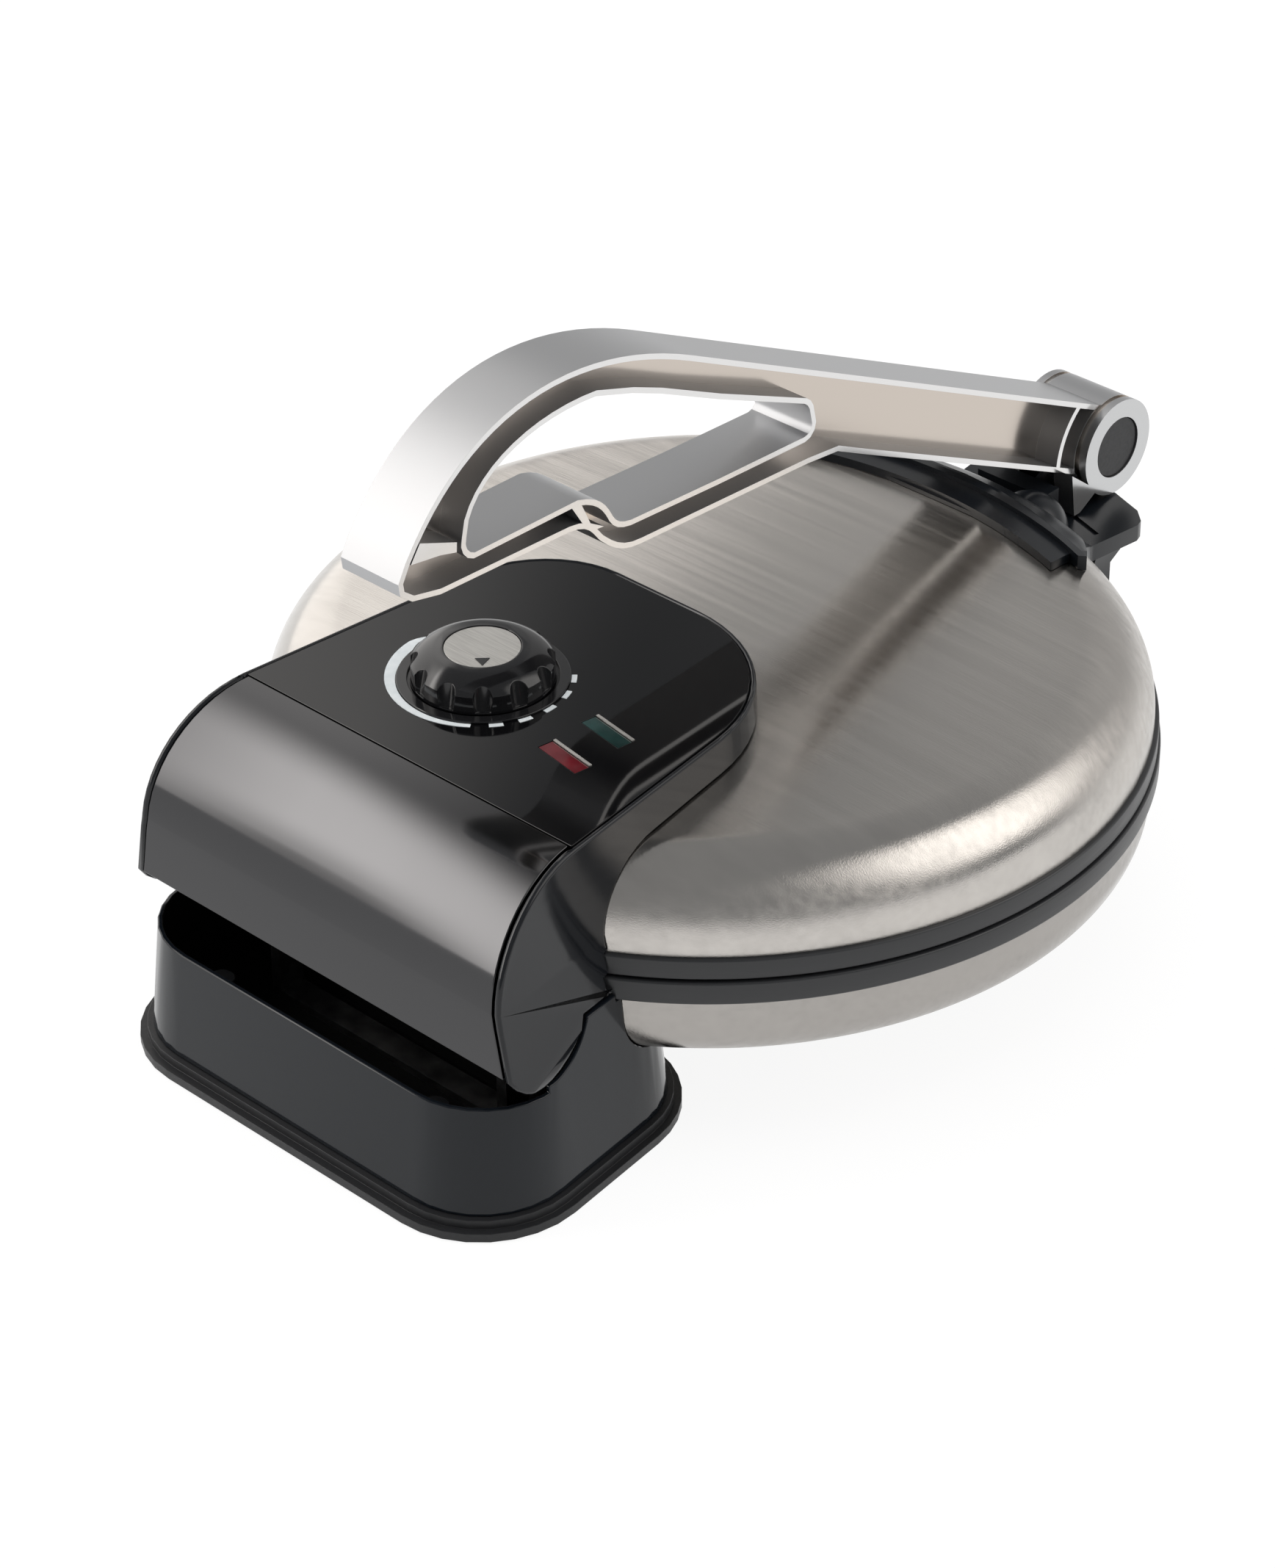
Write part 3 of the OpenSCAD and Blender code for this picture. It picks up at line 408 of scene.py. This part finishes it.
def lathe(profile, steps=256):
    """Spins a closed profile of radius and height round the drum's axis."""
    work = bmesh.new()
    angles = [2 * math.pi * i / steps for i in range(steps)]
    rings = []
    for r, z in profile:
        if r < 1e-6:
            rings.append([work.verts.new((0, DRUM_Y * MM, z * MM))] * steps)
        else:
            rings.append([work.verts.new((r * MM * math.cos(a),
                                          r * MM * math.sin(a) + DRUM_Y * MM, z * MM))
                          for a in angles])
    for one, two in zip(rings, rings[1:] + rings[:1]):
        for i in range(steps):
            corners = [one[i], one[(i + 1) % steps], two[(i + 1) % steps], two[i]]
            face = list(dict.fromkeys(corners))
            if len(face) > 2:
                work.faces.new(face)
    bmesh.ops.recalc_face_normals(work, faces=work.faces)
    mesh = bpy.data.meshes.new("turned")
    work.to_mesh(mesh)
    work.free()
    return mesh


GRAIN_SCALE = 4


def grain_map(mesh):
    layer = mesh.uv_layers.new(name="grain")
    for loop in mesh.loops:
        x, y, z = mesh.vertices[loop.vertex_index].co
        y -= DRUM_Y * MM
        layer.data[loop.index].uv = (GRAIN_SCALE * (y - z * y / (BAND_R * MM)), GRAIN_SCALE * x)


def turned(profile, name, material, cad_node, cutter=None):
    mesh = lathe(profile)
    if cutter:
        work = bpy.data.objects.new("work", mesh)
        bpy.context.scene.collection.objects.link(work)
        cut = work.modifiers.new("cut", "BOOLEAN")
        cut.object = cutter
        cut.solver = "EXACT"
        mesh = baked(work)
    mesh.shade_smooth()
    mesh.set_sharp_from_angle(angle=math.radians(40))
    grain_map(mesh)
    show(mesh, name, material, cad_node)


print("lathe ready")

# %% [markdown]
# ## The drum
#
# Both shells are thin pressed sheet. The lid has a faint dome and a large soft shoulder that ends
# just above the band, with a square window under the knob for the thermostat. The lower shell
# faces the floor and gets a darker copy of the same steel, which is painted shade.

# %% Shells
SHEET = 1.2             # wall of the pressed sheet
DOME = 3.0              # rise of the lid's middle
SHOULDER_R = 24.0
LID_EDGE = 70.4         # just above the band
PAN_Z, PAN_R, PAN_EDGE = 29.9, 16.0, 55.1
KNOB_AT = (0.0145, 0.0905)
# painted shade: a darker copy of the brushed steel for the underside of the drum
steel_with_painted_shade = brushed_steel.copy()
steel_with_painted_shade.name = "steel_with_painted_shade"
tint(steel_with_painted_shade, noise(steel_with_painted_shade, 9), shade(STEEL, 0.66), shade(STEEL, 0.76))


def lid_line(t):
    flat_r = SHELL_R - SHOULDER_R
    dome = [(flat_r * i / 16, LID_TOP - t + DOME * (1 - (i / 16) ** 2)) for i in range(16)]
    shoulder = arc(flat_r, LID_TOP - SHOULDER_R, SHOULDER_R - t, 90, 0, 24)
    return dome + shoulder + [(SHELL_R - t, LID_EDGE)]


def lower_line(t):
    flat_r = SHELL_R - PAN_R
    flat = [(flat_r * i / 6, PAN_Z + t) for i in range(6)]
    return flat + arc(flat_r, PAN_Z + PAN_R, PAN_R - t, -90, 0, 20) + [(SHELL_R - t, PAN_EDGE)]


def drum_wall(line):
    """A closed sheet between an outer and an inner line, both from the axis outwards."""
    return line(0) + line(SHEET)[::-1]


bpy.ops.mesh.primitive_cube_add(size=0.03, location=(*KNOB_AT, 0.1))
window = bpy.context.object
turned(drum_wall(lid_line), "lid_sheet", brushed_steel, "lid_shell", cutter=window)
bpy.data.objects.remove(window)
turned(drum_wall(lower_line), "lower_sheet", steel_with_painted_shade, "lower_shell")

# %% [markdown]
# ## Bands, hot plates and heaters
#
# The band is two turned rings with rounded edges. The hot plates are thick castings with a step
# for the band, and a tube heater lies behind each. They are turned as well, since all are round.

# %% Bands, plates and heaters
RING_R = 127.3
PLATE_R, FLANGE_R = 127, 131
HEATER_R, TUBE_R, HEATER_TURN = 85, 4, 345


def soft_ring(r0, r1, z0, z1, corner=0.7):
    return ([(r0, z0)] + arc(r1 - corner, z0 + corner, corner, -90, 0, 4)
            + arc(r1 - corner, z1 - corner, corner, 0, 90, 4) + [(r0, z1)])


def hot_plate(back, face):
    """A plate from its back to its face, with a flange at the back and a small chamfer."""
    way = 1 if face > back else -1
    return [(0, back), (FLANGE_R, back), (FLANGE_R, back + 2.3 * way), (PLATE_R, back + 2.3 * way),
            (PLATE_R, face - 0.7 * way), (PLATE_R - 0.7, face), (0, face)]


turned(soft_ring(RING_R, BAND_R, 63.35, 70.3), "upper_ring", dark_band, "lid_band")
turned(soft_ring(RING_R, BAND_R + 0.8, 55.1, 62.65), "lower_ring", dark_band, "lower_band")
turned(hot_plate(54.7, 62.7), "lower_hotplate", coating, "lower_plate")
turned(hot_plate(71.3, 63.3), "upper_hotplate", coating, "upper_plate")
for half, z in (("lower", 50.7), ("upper", 75.3)):
    tube = arc(HEATER_R, z, TUBE_R, 0, HEATER_TURN, 23)
    turned(tube, half + "_element", heater_metal, half + "_heater")

# %% [markdown]
# ## The housings
#
# The base box and the control housing are moulded, so their edges are slightly rounded. The
# panel is glossy black, and the rear cover is dark gunmetal. The inside of the base box is rough
# and in deep shade. Its faces look towards the box's middle, so a mask from that direction takes
# their gloss away and paints them near black as painted shade, without a second piece.

# %% Base and housings
def dull_and_shade_inside(material, centre):
    """Faces that look towards the centre, such as the walls of a well, lose their gloss and get a
    near-black painted shade.
    """
    tree = material.node_tree
    place = tree.nodes.new("ShaderNodeTexCoord")
    offset = tree.nodes.new("ShaderNodeVectorMath")
    offset.operation = "SUBTRACT"
    offset.inputs[1].default_value = centre
    facing = tree.nodes.new("ShaderNodeVectorMath")
    facing.operation = "DOT_PRODUCT"
    step = tree.nodes.new("ShaderNodeMapRange")
    step.inputs["From Min"].default_value = -0.004
    step.inputs["From Max"].default_value = 0.004
    shader = tree.nodes["Principled BSDF"]
    gloss = tree.nodes.new("ShaderNodeMapRange")
    gloss.inputs["To Min"].default_value = 0.95
    # painted shade: faces that look towards the box's middle are mixed to near black
    shadow = tree.nodes.new("ShaderNodeMix")
    shadow.data_type = "RGBA"
    shadow.inputs[6].default_value = (0.001, 0.001, 0.001, 1)
    shadow.inputs[7].default_value = shader.inputs["Base Color"].default_value
    tree.links.new(place.outputs["Object"], offset.inputs[0])
    tree.links.new(offset.outputs[0], facing.inputs[0])
    tree.links.new(place.outputs["Normal"], facing.inputs[1])
    tree.links.new(facing.outputs["Value"], step.inputs["Value"])
    tree.links.new(step.outputs[0], gloss.inputs["Value"])
    tree.links.new(shader.inputs["Roughness"].links[0].from_socket, gloss.inputs["To Max"])
    tree.links.new(gloss.outputs[0], shader.inputs["Roughness"])
    tree.links.new(step.outputs[0], shadow.inputs[0])
    tree.links.new(shadow.outputs[2], shader.inputs["Base Color"])



BOX_MIDDLE = (0, 0.143, 0.03)
base_gloss = gloss_black.copy()
base_gloss.name = "base_gloss"
dull_and_shade_inside(base_gloss, BOX_MIDDLE)
rounded("base_plate", "base_flange", dull_black, 0.9, 3)
rounded("base_housing", "base_box", base_gloss, 0.45, 3)
rounded("control_housing", "upper_housing", dark_gloss, 1.1, 4)
rounded("control_panel", "top_panel", panel_black, 0.25, 2)
rounded("rear_cover", "rear_shell", gunmetal, 0.4, 2)

# %% [markdown]
# ## Lever, bracket and knob
#
# The lever is a casting with deep recesses, polished on its edges. The bracket that holds it is
# black plastic, a little less glossy than the base. The knob has thumb flutes and a brushed cap.

# %% Lever, bracket and knob
bracket_black = finish("bracket_black", (0.006, 0.0075, 0.01), 0.3, specular=0.35)
vary(bracket_black, "Roughness", noise(bracket_black, 40), 0.26, 0.34)
rounded("lever_handle", "lever_casting", nickel, 0.5, 3, steep=30)
rounded("pivot_caps", "lever_plugs", dull_black, 0.3)
rounded("lever_bracket", "lever_mount", bracket_black, 0.6, 3)
rounded("knob", "knob_body", knob_black, 0.35, 3, steep=30)
rounded("knob_cap", "knob_disc", cap_metal, 0.15, 2)
rounded("dial_ring", "knob_seat", knob_black, 0.25, 2)

# %% [markdown]
# ## Helpers for node trees
#
# Geometry Nodes suit parts that repeat: the tree holds one part and the rule for its places.
# These helpers add nodes, link them and do sums, and the last one keeps the evaluated result as
# a plain mesh. The modifier's inputs are set by their identifiers before the first evaluation.

# %% Node helpers
def new_tree(name, **inputs):
    """An empty Geometry Nodes tree with an output and one named input for each keyword."""
    kinds = {int: "NodeSocketInt", float: "NodeSocketFloat",
             bpy.types.Material: "NodeSocketMaterial"}
    tree = bpy.data.node_groups.new(name, "GeometryNodeTree")
    tree.interface.new_socket("Geometry", in_out="OUTPUT", socket_type="NodeSocketGeometry")
    for key, value in inputs.items():
        tree.interface.new_socket(key, in_out="INPUT", socket_type=kinds[type(value)])
    return tree, tree.nodes.new("NodeGroupInput"), tree.nodes.new("NodeGroupOutput")


def add_node(tree, kind, links=None, **values):
    """Adds a node, sets its plain inputs by name and links the others."""
    made = tree.nodes.new("GeometryNode" + kind)
    for key, value in values.items():
        made.inputs[key].default_value = value
    for key, socket in (links or {}).items():
        tree.links.new(socket, made.inputs[key])
    return made


def feed(tree, sockets, values):
    """Fills sockets in order with plain numbers or with other nodes' outputs."""
    for socket, value in zip(sockets, values):
        if isinstance(value, (int, float)):
            socket.default_value = value
        else:
            tree.links.new(value, socket)


def sum_maker(tree):
    """A function that adds Math nodes to this tree."""
    def calc(operation, *values):
        made = tree.nodes.new("ShaderNodeMath")
        made.operation = operation
        feed(tree, made.inputs, values)
        return made.outputs[0]
    return calc


def grown(tree, name, material, cad_node, **inputs):
    """Evaluates the tree with these inputs and keeps the result as a plain mesh."""
    host = bpy.data.objects.new("host", bpy.data.meshes.new("host"))
    bpy.context.scene.collection.objects.link(host)
    modifier = host.modifiers.new("grow", "NODES")
    modifier.node_group = tree
    for item in tree.interface.items_tree:
        if item.in_out == "INPUT":
            modifier[item.identifier] = inputs[item.name]
    show(baked(host), name, material, cad_node)


print("node helpers ready")

# %% [markdown]
# ## Foot screws
#
# Four cross-head screws hold the base plate. The tree cuts a cross into a short cylinder and adds
# the shank, so the size of the head and of the recess stay editable.

# %% One screw
HEAD_R = 3.5
screw_inputs = dict(Count=4, Radius=HEAD_R, Height=2.4, Shank=1.7, Length=16.0, Slot=0.9,
                    Metal=zinc)
screws, given, result = new_tree("cross_head_screws", **screw_inputs)
screw_sum = sum_maker(screws)


def mm(key, factor=1.0):
    return screw_sum("MULTIPLY", given.outputs[key], factor * MM)


def vector(x, y, z):
    combine = screws.nodes.new("ShaderNodeCombineXYZ")
    feed(screws, combine.inputs, (x, y, z))
    return combine.outputs[0]


def rod(radius, length, lift, sides):
    """A cylinder with its middle lifted by a share of its length."""
    bar = add_node(screws, "MeshCylinder", {"Radius": mm(radius), "Depth": mm(length)},
                   Vertices=sides)
    return add_node(screws, "Transform", {"Geometry": bar.outputs["Mesh"],
                                          "Translation": vector(0, 0, mm(length, lift))})


head = rod("Radius", "Height", 0.5, 48)
arm_size, arm_width = mm("Radius", 1.2), mm("Slot")
cross = add_node(screws, "JoinGeometry")
for x, y in ((arm_size, arm_width), (arm_width, arm_size)):
    arm = add_node(screws, "MeshCube", {"Size": vector(x, y, mm("Height"))})
    screws.links.new(arm.outputs["Mesh"], cross.inputs[0])
cut_head = add_node(screws, "MeshBoolean", {"Mesh 1": head.outputs[0], "Mesh 2": cross.outputs[0]})
cut_head.operation = "DIFFERENCE"
shank = rod("Shank", "Length", 0.52, 24)
one = add_node(screws, "JoinGeometry")
screws.links.new(cut_head.outputs[0], one.inputs[0])
screws.links.new(shank.outputs[0], one.inputs[0])
print("screw ready")

# %% [markdown]
# ## Screws in their holes
#
# The CAD screws give the corners of the pattern. Each point of a four-point line goes to one
# corner: its X place changes with every point and its Y place with every second one.

# %% Screws in their holes
low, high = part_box("base_screws")
inset = HEAD_R * MM
points = add_node(screws, "MeshLine", {"Count": given.outputs["Count"]})
index = screws.nodes.new("GeometryNodeInputIndex")


def alternate(every, first, second):
    """First or second, by the index divided by every, even or odd."""
    whole = screw_sum("FLOOR", screw_sum("DIVIDE", index.outputs[0], every))
    pick = screws.nodes.new("ShaderNodeMapRange")
    pick.inputs["To Min"].default_value = first
    pick.inputs["To Max"].default_value = second
    screws.links.new(screw_sum("MODULO", whole, 2), pick.inputs["Value"])
    return pick.outputs[0]


corners = add_node(screws, "SetPosition", {
    "Geometry": points.outputs["Mesh"],
    "Position": vector(alternate(1, low.x + inset, high.x - inset),
                       alternate(2, low.y + inset, high.y - inset), low.z)})
placed = add_node(screws, "InstanceOnPoints",
                  {"Points": corners.outputs[0], "Instance": one.outputs[0]})
real = add_node(screws, "RealizeInstances", {"Geometry": placed.outputs[0]})
painted = add_node(screws, "SetMaterial",
                   {"Geometry": real.outputs[0], "Material": given.outputs["Metal"]})
screws.links.new(painted.outputs[0], result.inputs[0])
grown(screws, "foot_screws", zinc, "base_screws", **screw_inputs)

# %% [markdown]
# ## Small parts that keep their CAD shape
#
# Flat prints, pads, lenses and the hidden parts inside the housings are right as they are, so
# they only get their finish.

# %% Finishes for the small parts
plain = {
    "rubber_feet": rubber, "hinge_bracket": zinc, "hinge_pin": zinc,
    "cord_gland": rubber, "terminal_block": insulator, "front_foot": dull_black,
    "front_pad": rubber, "dial_marks": white_print, "ready_lens": green_lens,
    "power_lens": red_lens, "lamp_frames": cap_metal, "lamp_holder": insulator,
    "thermostat": insulator, "lid_hinge": zinc, "hinge_screws": zinc, "pivot_pin": zinc,
    "knob_pointer": dull_black, "knob_shaft": zinc,
}
for cad_node, material in plain.items():
    nodes[cad_node].data.materials.clear()
    nodes[cad_node].data.materials.append(material)
print(len(plain), "small parts finished")

# %% [markdown]
# ## Floor
#
# The photograph stands on pure white. The floor glows white for the camera, with a share of real
# floor left so that a soft shadow shows. Metal and gloss reflect the same white floor.

# %% Floor and backdrop
def white_by_light_path(tree, surface, share):
    """Mixes a surface with a white glow that camera, glossy and transmission rays see."""
    path = tree.nodes.new("ShaderNodeLightPath")
    total = path.outputs["Is Camera Ray"]
    for ray in ("Is Glossy Ray", "Is Transmission Ray"):
        add = tree.nodes.new("ShaderNodeMath")
        add.operation = "MAXIMUM"
        tree.links.new(total, add.inputs[0])
        tree.links.new(path.outputs[ray], add.inputs[1])
        total = add.outputs[0]
    scale = tree.nodes.new("ShaderNodeMath")
    scale.operation = "MULTIPLY"
    scale.inputs[1].default_value = share
    tree.links.new(total, scale.inputs[0])
    mix = tree.nodes.new("ShaderNodeMixShader")
    tree.links.new(scale.outputs[0], mix.inputs["Fac"])
    tree.links.new(surface, mix.inputs[1])
    return mix


FAR = 60                # metres, so that no low view shows the floor's edge
floor_mesh = bpy.data.meshes.new("floor")
floor_mesh.from_pydata([(-FAR, -FAR, 0), (FAR, -FAR, 0), (FAR, FAR, 0), (-FAR, FAR, 0)], [],
                       [(0, 1, 2, 3)])
floor = bpy.data.objects.new("floor", floor_mesh)
bpy.context.scene.collection.objects.link(floor)
floor.location.z = -0.0004
white_floor = bpy.data.materials.new("white_floor")
white_floor.use_nodes = True
tree = white_floor.node_tree
tree.nodes.clear()
out = tree.nodes.new("ShaderNodeOutputMaterial")
diffuse = tree.nodes.new("ShaderNodeBsdfDiffuse")
diffuse.inputs["Color"].default_value = (0.9, 0.9, 0.9, 1)
glow = tree.nodes.new("ShaderNodeEmission")
glow.inputs["Strength"].default_value = 1.05
mix = white_by_light_path(tree, diffuse.outputs[0], 0.85)
tree.links.new(glow.outputs[0], mix.inputs[2])
tree.links.new(mix.outputs[0], out.inputs["Surface"])
floor_mesh.materials.append(white_floor)
print("floor ready")

# %% [markdown]
# ## The studio as seen by the gloss
#
# Each glossy face in the photograph shows where the lights stand, so the world is drawn as a
# small studio. Its brightness depends only on direction. First come the tools: the direction's
# three parts, and a soft step between two values.

# %% World helpers
world = bpy.data.worlds.new("studio")
bpy.context.scene.world = world
world.use_nodes = True
sky = world.node_tree
sky.nodes.clear()
calc = sum_maker(sky)


def fade(value, start, end, low=0.0, high=1.0):
    """Goes softly from low to high while the value goes from start to end."""
    step = sky.nodes.new("ShaderNodeMapRange")
    step.interpolation_type = "SMOOTHSTEP"
    sky.links.new(value, step.inputs["Value"])
    names = ("From Min", "From Max", "To Min", "To Max")
    feed(sky, [step.inputs[name] for name in names], (start, end, low, high))
    return step.outputs["Result"]


def times(a, b):
    return calc("MULTIPLY", a, b)


def plus(a, b):
    return calc("ADD", a, b)


where = sky.nodes.new("ShaderNodeTexCoord")
split = sky.nodes.new("ShaderNodeSeparateXYZ")
sky.links.new(where.outputs["Generated"], split.inputs[0])
dx, dy, dz = split.outputs
print("world helpers ready")

# %% [markdown]
# ## Soft boxes and room
#
# The key is a large soft box behind the rear cover, across from the camera. The bright band on
# the cover ends along an arch, because the box's lower edge does. A small bright box high on the
# other side lights the lid's shoulder, and two weak ones put a sheen on the lever and the lid.
# The room adds a dim, slightly cool light from everywhere.

# %% Soft boxes
MIDDLE = 0.622                          # the direction's X that the cover's middle reflects
ARCH_TOP, ARCH_BEND, SLANT = 0.14, 250, 8
KEY, SIDE, FRONT, SHEEN, ROOM = 5.9, 1.9, 0.25, 1.3, 0.31
SIDE_BOX = (-0.656, -0.424, 0.626)      # the direction in which the small box stands
past = calc("SUBTRACT", dx, MIDDLE)
above = calc("SUBTRACT", dz, calc("SUBTRACT", ARCH_TOP, times(ARCH_BEND, times(past, past))))
slant = times(SLANT, calc("MINIMUM", past, 0))
key = times(fade(dx, 0.626, 0.66, 1, 0.3), fade(dx, 0.7, 0.8, 1, 0))
key = times(key, times(fade(above, -0.02, 0.02), fade(above, 0, 0.35, 0.35)))
key = times(key, fade(plus(dy, slant), -0.3, 0.3, 0, KEY))
toward = plus(plus(times(dx, SIDE_BOX[0]), times(dy, SIDE_BOX[1])), times(dz, SIDE_BOX[2]))
side = fade(toward, 0.86, 0.96, 0, SIDE)
front = fade(dy, -0.6, -0.72, 0, FRONT)
sheen = times(fade(dx, 0.585, 0.63, 0, SHEEN), fade(dy, -0.66, -0.52))
print("soft boxes ready")

# %% World
glow = sky.nodes.new("ShaderNodeBackground")
glow.inputs["Color"].default_value = (1.0, 0.965, 0.93, 1)
sky.links.new(plus(plus(key, side), plus(front, sheen)), glow.inputs["Strength"])
room = sky.nodes.new("ShaderNodeBackground")
room.inputs["Color"].default_value = (0.97, 0.985, 1.0, 1)
room.inputs["Strength"].default_value = ROOM
both = sky.nodes.new("ShaderNodeAddShader")
out = sky.nodes.new("ShaderNodeOutputWorld")
sky.links.new(glow.outputs[0], both.inputs[0])
sky.links.new(room.outputs[0], both.inputs[1])
sky.links.new(both.outputs[0], out.inputs["Surface"])
bpy.context.scene.view_settings.view_transform = "Standard"
print("studio world ready")

# %% [markdown]
# ## Overhead lamp
#
# One soft lamp above gives the floor its shadow and the matt parts their shape. Glossy faces
# don't see it, because their reflections come from the drawn studio.

# %% Overhead lamp
lamp_data = bpy.data.lights.new("overhead", "AREA")
lamp_data.size = 1.5
lamp_data.energy = 13
lamp = bpy.data.objects.new("overhead", lamp_data)
lamp.location = (0, 0, 1.6)
lamp.visible_glossy = False
bpy.context.scene.collection.objects.link(lamp)
print("overhead lamp ready")
